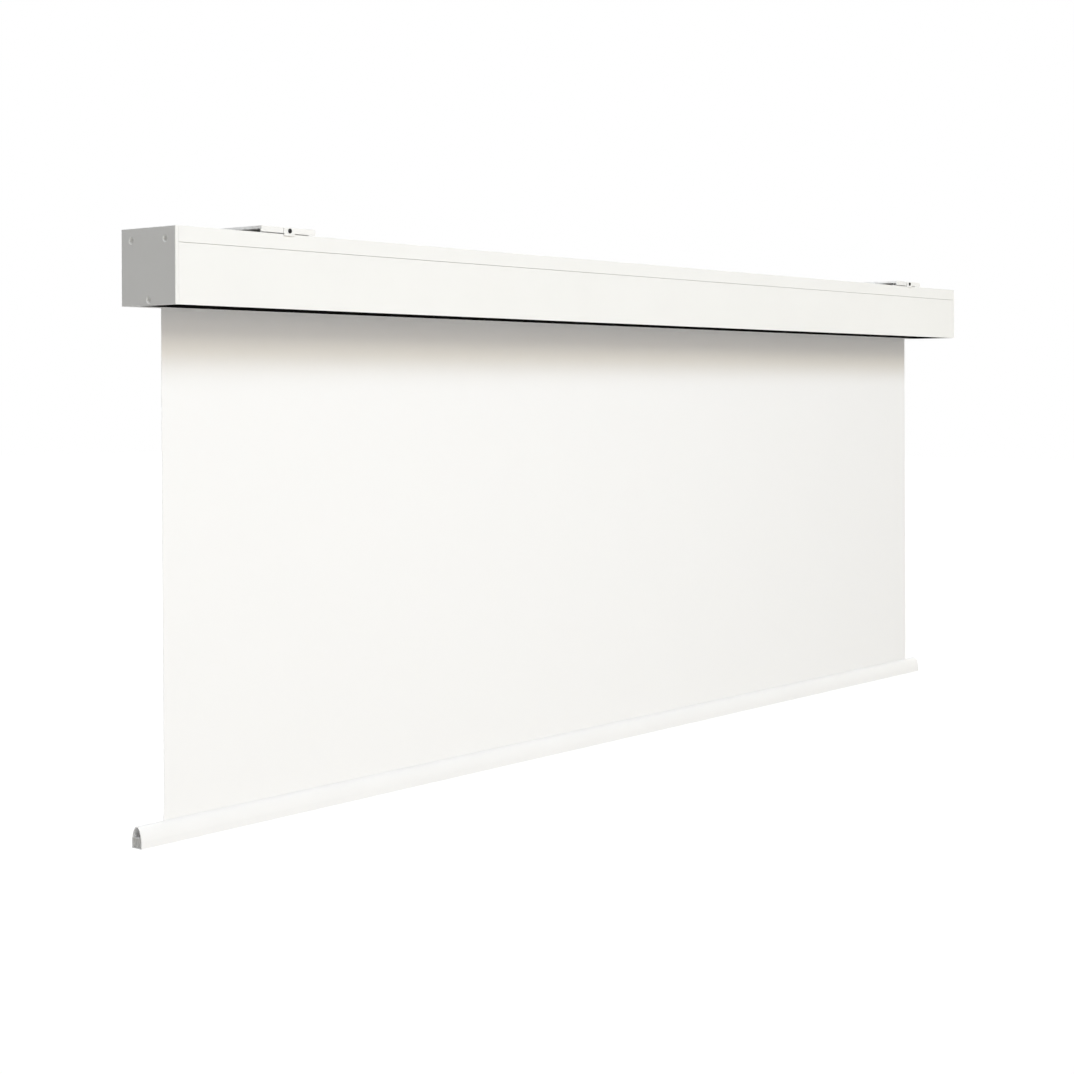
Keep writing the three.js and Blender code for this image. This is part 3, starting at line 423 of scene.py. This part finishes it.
# Carrier plates. Pressed from 3 mm steel and zinc plated, one inside each end cap. They share
# the cap screws and carry the motor's square pin at the left and the bearing at the right.
steel_edge = 0.3
plate_cloud_cell, plate_cloud_shares = 45, (0.9, 1.06)
plate_satin_cell = 90
rolling_cell, rolling_stretch, rolling_relief = 1400, (1, 0.15, 1), 0.006 * MM


def plated(name, colour, low, high):
    """Zinc plating: cloudy, faintly brushed by the sheet's rolling, and not quite even."""
    material, tree, shader, place = finish(name, colour, (low + high) / 2, metallic=1.0)
    cloud = grain(tree, place, plate_cloud_cell, detail=5)
    tint(tree, shader, cloud, colour, *plate_cloud_shares)
    satin = spread(tree, grain(tree, place, plate_satin_cell, detail=4), low, high)
    tree.links.new(satin, shader.inputs["Roughness"])
    relief(tree, shader, grain(tree, place, rolling_cell, stretch=rolling_stretch), rolling_relief)
    return material


zinc = plated("zinc_steel", (0.66, 0.68, 0.7), low=0.28, high=0.44)
worked("motor_carrier", "zinc", zinc, steel_edge)
worked("idler_carrier", "zinc", zinc, steel_edge)


# Tubular motor. Its black moulded head carries the square pin and two yellow limit adjusters,
# which turn under a hex key. The steel tube is crimped round the gearbox and the brake.
moulded_edge = 0.25

black_plastic = moulded("black_plastic", (0.022, 0.022, 0.024), roughness=0.5)
adjuster_yellow = moulded("adjuster_plastic", (0.86, 0.66, 0.06), roughness=0.45)
worked("motor_head", "black", black_plastic, edge=0.5)
worked("motor_tube", "zinc", zinc, steel_edge)
worked("limit_adjuster_up", "yellow", adjuster_yellow, moulded_edge)
worked("limit_adjuster_down", "yellow", adjuster_yellow, moulded_edge)


# Roller tube and the pieces that turn with it. The motor's hexagonal shaft drives a moulded
# wheel keyed to the tube, and a crown carries the tube's left end on the motor. The tube is
# extruded aluminium, with the draw lines of the die along it.
draw_line_cell, draw_line_stretch = 900, (0.004, 1, 1)
draw_line_shares, draw_line_relief = (0.93, 1.04), 0.008 * MM


def drawn_metal(name, colour, low, high):
    """Bare metal as it comes from the die, with lines that run along X."""
    material, tree, shader, place = finish(
        name, colour, (low + high) / 2, metallic=1.0, anisotropic=0.3,
    )
    lines = grain(tree, place, draw_line_cell, detail=3, stretch=draw_line_stretch)
    tint(tree, shader, lines, colour, *draw_line_shares)
    tree.links.new(spread(tree, lines, low, high), shader.inputs["Roughness"])
    relief(tree, shader, lines, draw_line_relief)
    return material


mill_aluminium = drawn_metal("mill_aluminium", (0.74, 0.75, 0.76), low=0.26, high=0.42)
nylon = moulded("nylon", (0.85, 0.83, 0.76), roughness=0.5)
worked("output_shaft", "zinc", zinc, steel_edge)
worked("drive_wheel", "black", black_plastic, moulded_edge)
worked("motor_crown", "black", black_plastic, moulded_edge)
worked("roller_tube", "drawn", mill_aluminium, edge=0.15)
worked("cloth_keder", "nylon", nylon, edge=0)


# Idler end. A moulded plug in the tube's right end turns a steel pin in a nylon bearing, which
# is pressed into the carrier plate.
worked("idler_plug", "black", black_plastic, moulded_edge)
worked("idler_pin", "zinc", zinc, steel_edge)
worked("idler_bearing", "nylon", nylon, edge=0.2)


# Wound cloth. White coated projection cloth, half a millimetre thick. Four turns and a quarter
# lie on the roller, from the keder in its groove to the line where the sheet leaves the roll.
# Past that line the outer turn drops by a cloth's thickness, so the roll turns clear of the sheet.
cloth_white = (0.94, 0.94, 0.95)
cloth_drift_cell, cloth_drift_shares = 5, (0.997, 1)
weave_cell, weave_relief = 2200, 0.02 * MM
cloth_thickness = 0.5 * MM
cloth_low_corner, cloth_high_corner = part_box("screen_fabric")
cloth_left, cloth_right = cloth_low_corner.x, cloth_high_corner.x
cloth_low, cloth_high = cloth_low_corner.z, cloth_high_corner.z
cloth_y = (cloth_low_corner.y + cloth_high_corner.y) / 2
cloth_width = cloth_right - cloth_left
cloth_drop = cloth_high - cloth_low
cloth_edge = 1 * MM
roll_centre = Vector((0, 9.15 * MM, -63 * MM))
roll_outer = cloth_y - roll_centre.y
roll_inner = 32.26 * MM
roll_drop = 0.54 * MM
roll_turns = 4.25
steps_per_turn = 60
drop_steps = 5
roll_wall_share = 0.96
strip_columns = 12

cloth, tree, shader, place = finish("screen_cloth", cloth_white, roughness=0.9, specular=0.25)
flat = tree.nodes.new("ShaderNodeUVMap")
flat.uv_map = "cloth"
drift = grain(tree, flat.outputs["UV"], cloth_drift_cell)
tint(tree, shader, drift, cloth_white, *cloth_drift_shares)
weave = grain(tree, flat.outputs["UV"], weave_cell, detail=1.0)
relief(tree, shader, weave, weave_relief)


def lay_out(piece, across, along):
    """The cloth's own map in metres: across the width and along the length."""
    chart = piece.data.uv_layers.new(name="cloth")
    for loop in piece.data.loops:
        corner = piece.data.vertices[loop.vertex_index]
        chart.data[loop.index].uv = (across(corner), along(corner))


def swept_strip(name, path):
    """Cloth over its whole width that follows a path in Y and Z, and the path's length."""
    mesh = bpy.data.meshes.new(name)
    shape = bmesh.new()
    inner = [
        cloth_left + cloth_edge + (cloth_width - 2 * cloth_edge) * column / strip_columns
        for column in range(strip_columns + 1)
    ]
    stations = [cloth_left, *inner, cloth_right]
    rows = [[shape.verts.new((x, y, z)) for x in stations] for y, z in path]
    for upper, lower in zip(rows, rows[1:]):
        for column in range(len(stations) - 1):
            shape.faces.new((upper[column], upper[column + 1], lower[column + 1], lower[column]))
    shape.to_mesh(mesh)
    shape.free()
    strip = bpy.data.objects.new(name, mesh)
    bpy.context.scene.collection.objects.link(strip)
    run = [0.0]
    for before, after in zip(path, path[1:]):
        run.append(run[-1] + math.dist(before, after))
    lay_out(strip, lambda v: v.co.x, lambda v: run[v.index // len(stations)])
    select_only(strip)
    bpy.ops.object.shade_smooth()
    return strip, run[-1]


def given_thickness(piece, thickness):
    """Cloth of this thickness, half of it on either side of the sheet."""
    wall = piece.modifiers.new("thickness", "SOLIDIFY")
    wall.thickness = thickness
    wall.offset = 0


path = []
steps = int(roll_turns * steps_per_turn)
for step in range(steps + 1):
    turned = 2 * math.pi * step / steps_per_turn
    wound = max(step - drop_steps, 0) / (steps - drop_steps)
    dropped = roll_drop * min(step / drop_steps, 1)
    radius = roll_outer - dropped - (roll_outer - roll_drop - roll_inner) * wound
    path.append((
        roll_centre.y + radius * math.cos(turned),
        roll_centre.z + radius * math.sin(turned),
    ))
roll, roll_length = swept_strip("wound_cloth", path)
given_thickness(roll, cloth_thickness * roll_wall_share)
stands_for(roll, "fabric_roll", cloth)


# Hanging cloth. The free part of the same sheet, which hangs straight from the roll to the
# bar. It unrolls evenly as the bar goes down: the blend between case and bar is eased, so the
# sheet has a belly of under a millimetre that undoes the easing.
sway = 10 * MM
columns, rows = 96, 72

bpy.ops.mesh.primitive_grid_add(x_subdivisions=columns, y_subdivisions=rows, size=1)
sheet = bpy.context.object
sheet.name = "hanging_cloth"


def eased_back(fall):
    """The share of the fall at which the eased blend reaches this share."""
    return 0.5 - math.sin(math.asin(1 - 2 * fall) / 3)


fall_start = Vector((0, cloth_y, cloth_high))
fall_end = fall_start + Vector((0, sway, -sway * sway / cloth_drop))
fall_step = fall_end - fall_start
for corner in sheet.data.vertices:
    fall = min(max(0.5 - corner.co.y, 0), 1)
    belly = (eased_back(fall) - fall) * fall_step.length_squared / fall_step.y
    across = cloth_left + (corner.co.x + 0.5) * cloth_width
    corner.co = (across, cloth_y + belly, cloth_high - fall * cloth_drop)
lay_out(sheet, lambda v: v.co.x, lambda v: v.co.z)
sheet.data.materials.append(cloth)
bpy.ops.object.shade_flat()
given_thickness(sheet, cloth_thickness)
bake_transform(sheet, "case", "bar", fall_start, fall_end)
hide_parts("screen_fabric")


# Hem. The sheet's lower end runs round a nylon rod and is welded to itself behind, a few
# millimetres above the bar. The loop and the rod seat under the bar's slot.
rod_low, rod_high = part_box("hem_rod")
rod_centre = (rod_low + rod_high) / 2
rod_radius = (rod_high.z - rod_low.z) / 2
rod_clearance = 0.3 * MM
loop_radius = rod_radius + rod_clearance + cloth_thickness / 2
loop_start, loop_end, loop_step = 110, 430, 10
neck_rise = 1.2 * MM
weld_above_bar = 7 * MM
hem_wall_share = 0.96

path = [(cloth_y, cloth_low), (cloth_y, rod_centre.z + loop_radius + neck_rise)]
for degrees in range(loop_start, loop_end + 1, loop_step):
    turned = math.radians(degrees)
    path.append((
        rod_centre.y + loop_radius * math.cos(turned),
        rod_centre.z + loop_radius * math.sin(turned),
    ))
path.append((cloth_y + cloth_thickness, rod_centre.z + loop_radius + neck_rise))
path.append((cloth_y + cloth_thickness, cloth_low + weld_above_bar))
hem, hem_length = swept_strip("welded_hem", path)
given_thickness(hem, cloth_thickness * hem_wall_share)
stands_for(hem, "fabric_hem", cloth)
worked("hem_rod", "nylon", nylon, edge=0.3)


# Bottom bar. A bell-shaped aluminium extrusion with the case's coat. The bar's copy of that coat is painted
# lighter than the case's, as painted light that makes up for the light the low bar misses. The hem's rod
# slides into its upper chamber from the end, a steel flat in the lower chamber keeps the cloth straight, and
# a ribbed light grey insert closes that chamber at each end.
# Lighter than coat_white: painted light on the bar's copy of the case's coat.
bar_white_painted_lighter = (0.93, 0.93, 0.94)

grey_plastic = moulded("grey_plastic", (0.8, 0.8, 0.79), roughness=0.6)
bar_coat_painted_lighter = powder_coat(
    "white_coat_painted_lighter_on_the_bar", bar_white_painted_lighter, low=0.40, high=0.50, specular=0.3,
)
worked("bottom_bar", "white", bar_coat_painted_lighter, edge=0.2, smooth=40)
worked("ballast_bar", "zinc", zinc, edge=0.4)
worked("bar_insert_left", "grey", grey_plastic, edge=0.2)
worked("bar_insert_right", "grey", grey_plastic, edge=0.2)


# Front cover. A second extrusion that hangs on the case profile's shelf and turns in above the
# underside panel. Same coat. The gap above it is the fine line on the front.
worked("front_cover", "white", white_coat, profile_edge)


# Underside panel. An extrusion with a matt black coat. It is painted darker than black paint and reflects
# nothing, so it also stands in as painted shade under the case. It reaches from the cover's lip to the slot
# and hooks over the cover's flange.
# Near-black and without reflection: the panel's black coat with painted shade on top of it.
black_coat_and_painted_shade = powder_coat(
    "black_powder_coat", (0.005, 0.005, 0.005), low=0.8, high=0.95, specular=0,
)
worked("underside_panel", "black", black_coat_and_painted_shade, edge=0.3)


# End caps. Flat plates with a bevelled edge and a rim that closes on the profiles, with the
# case's coat. Three screws hold each through the carrier plate to the profiles' ports, and
# the mouths of their seats are opened out to twelve millimetres.
seat_mouth = 5.9 * MM
seat_found, seat_reach = (4.0 * MM, 5.6 * MM), 0.5 * MM


def select_where(piece, test):
    """Selects the corners of the piece in edit mode that pass a test on their place."""
    shape = bmesh.from_edit_mesh(piece.data)
    for corner in shape.verts:
        corner.select_set(test(corner.co))
    shape.select_flush_mode()
    bmesh.update_edit_mesh(piece.data)


for side, outward in (("left", -1), ("right", 1)):
    cap = worked(f"end_cap_{side}", "white", white_coat, edge=0.25)
    low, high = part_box(f"end_cap_{side}")
    face = high.x if outward > 0 else low.x
    select_only(cap)
    bpy.ops.object.mode_set(mode="EDIT")
    for spot in ("front", "rear", "bottom"):
        axis = sum(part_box(f"cap_screw_{side}_{spot}"), Vector()) / 2

        def at_the_mouth(place):
            off_axis = math.hypot(place.y - axis.y, place.z - axis.z)
            return abs(place.x - face) < seat_reach and seat_found[0] < off_axis < seat_found[1]

        select_where(cap, at_the_mouth)
        wider = seat_mouth / max(
            math.hypot(corner.co.y - axis.y, corner.co.z - axis.z)
            for corner in bmesh.from_edit_mesh(cap.data).verts if corner.select
        )
        bpy.ops.transform.resize(value=(1, wider, wider), center_override=(face, axis.y, axis.z))
    bpy.ops.object.mode_set(mode="OBJECT")


# Cap screws. Countersunk heads with a cross recess, painted with the cap and sunk well below
# its face. One is modelled about Z and copied to its six places.
screw_head, screw_rim, screw_shank = 3.6 * MM, 0.25 * MM, 1.8 * MM
screw_sunk, screw_edge = 1.0 * MM, 0.1 * MM
screw_edge_angle, smooth_angle = math.radians(50), math.radians(35)
recess_length, recess_width, recess_depth = 4.4 * MM, 0.95 * MM, 1.4 * MM
recess_taper = (0.3, 0.8, 1)
screw_sides = 48
point_share, point_length_share = 0.25, 1.6

screw_coat = powder_coat(
    "painted_screw", (0.82, 0.82, 0.805), low=0.34, high=0.46, specular=0.5,
)


def cut_recess(screw, cutter):
    """Takes the cutter's shape out of the screw."""
    apply_modifier(screw, "BOOLEAN", operation="DIFFERENCE", solver="EXACT", object=cutter)
    bpy.data.objects.remove(cutter)


def put_in_place(model, name, node, matrix, material):
    """A copy of a modelled piece with its own mesh, laid where the node is."""
    piece = bpy.data.objects.new(name, model.data.copy())
    bpy.context.scene.collection.objects.link(piece)
    piece.data.transform(matrix)
    stands_for(piece, node, material)


screw_low, screw_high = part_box("cap_screw_left_front")
screw_length = screw_high.x - screw_low.x - screw_sunk
cap_screw = drawn_up("cap_screw_model", screw_sides, [
    (point_share * screw_shank, -screw_length),
    (screw_shank, point_length_share * screw_shank - screw_length),
    (screw_shank, screw_shank - screw_head - screw_rim),
    (screw_head, -screw_rim), (screw_head, 0),
])
for turn in (0, 90):
    bpy.ops.mesh.primitive_cube_add(size=1)
    blade = bpy.context.object
    bpy.ops.object.mode_set(mode="EDIT")
    bpy.ops.transform.resize(value=(recess_length, recess_width, 2 * recess_depth))
    select_where(blade, lambda place: place.z < 0)
    bpy.ops.transform.resize(value=recess_taper)
    bpy.ops.object.mode_set(mode="OBJECT")
    blade.data.transform(Matrix.Rotation(math.radians(turn), 4, "Z"))
    cut_recess(cap_screw, blade)
apply_modifier(
    cap_screw, "BEVEL", width=screw_edge, segments=2,
    limit_method="ANGLE", angle_limit=screw_edge_angle,
)
bpy.ops.object.shade_smooth_by_angle(angle=smooth_angle)
for side, outward in (("left", -1), ("right", 1)):
    for spot in ("front", "rear", "bottom"):
        node = f"cap_screw_{side}_{spot}"
        low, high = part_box(node)
        head = (low + high) / 2
        head.x = (high.x if outward > 0 else low.x) - outward * screw_sunk
        laid = Matrix.Translation(head) @ Matrix.Rotation(outward * math.radians(90), 4, "Y")
        put_in_place(cap_screw, f"painted_{node}", node, laid, screw_coat)
bpy.data.objects.remove(cap_screw)


# Ceiling brackets. Cut from a coated aluminium profile: a plate with two screw holes, a web for
# the clip's nut and two legs that hook into the case's grooves. The flange's foot stands 1.5 mm
# above the case, and the legs close the gap under it nearly to the bracket's right-hand end.
flange_foot, flange_lift, flange_reach = 1.0 * MM, 0.55 * MM, 0.3 * MM
leg_inset, leg_growth, leg_reach = 12.0 * MM, 11.0 * MM, 0.5 * MM
case_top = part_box("case_profile")[1].z

for side in ("left", "right"):
    bracket = worked(f"ceiling_bracket_{side}", "white", white_coat, edge=0.12)
    leg_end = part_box(f"ceiling_bracket_{side}")[1].x - leg_inset
    select_only(bracket)
    bpy.ops.object.mode_set(mode="EDIT")
    select_where(bracket, lambda place: abs(place.z - case_top - flange_foot) < flange_reach)
    bpy.ops.transform.translate(value=(0, 0, flange_lift))
    select_where(bracket, lambda place: abs(place.x - leg_end) < leg_reach)
    bpy.ops.transform.translate(value=(leg_growth, 0, 0))
    bpy.ops.object.mode_set(mode="OBJECT")


# Clips. A bent and coated plate on each bracket laps over the front edge of the case. A black
# screw with a hex socket and a captive zinc nut clamp the bracket where it stands.
clip_head, clip_head_height, clip_shank = 3.8 * MM, 2.4 * MM, 1.5 * MM
clip_point_share, clip_rim_share, clip_shoulder_share = 0.2, 0.05, 0.3
clip_dome_rings, clip_dome_flat = 7, 0.8
socket_radius, socket_depth = 1.6 * MM, 1.5 * MM

dark_steel = plated("dark_steel", (0.03, 0.03, 0.032), low=0.38, high=0.52)
clip_low, clip_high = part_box("clip_screw_left")
clip_tip = clip_head_height - (clip_high.y - clip_low.y)
profile = [
    (clip_shank * (1 - clip_point_share), clip_tip),
    (clip_shank, clip_tip + clip_shank * clip_point_share),
    (clip_shank, 0), (clip_head * (1 - clip_rim_share), 0),
    (clip_head, clip_head * clip_rim_share),
    (clip_head, clip_head_height * clip_shoulder_share),
]
for ring in range(1, clip_dome_rings + 1):
    turned = math.radians(90) * ring / (clip_dome_rings + clip_dome_flat)
    rise = clip_shoulder_share + (1 - clip_shoulder_share) * math.sin(turned)
    profile.append((clip_head * math.cos(turned), clip_head_height * rise))
clip_screw = drawn_up("clip_screw_model", screw_sides, profile)
bpy.ops.mesh.primitive_cylinder_add(
    vertices=6, radius=socket_radius, depth=2 * socket_depth, location=(0, 0, clip_head_height),
)
cut_recess(clip_screw, bpy.context.object)
select_only(clip_screw)
bpy.ops.object.shade_smooth_by_angle(angle=smooth_angle)
for side in ("left", "right"):
    worked(f"bracket_clip_{side}", "white", white_coat, edge=0.3)
    node = f"clip_screw_{side}"
    low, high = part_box(node)
    seat = (low + high) / 2
    seat.y = low.y + clip_head_height
    laid = Matrix.Translation(seat) @ Matrix.Rotation(math.radians(90), 4, "X")
    put_in_place(clip_screw, f"black_{node}", node, laid, dark_steel)
    worked(f"clip_nut_{side}", "zinc", zinc, edge=0.25)
bpy.data.objects.remove(clip_screw)
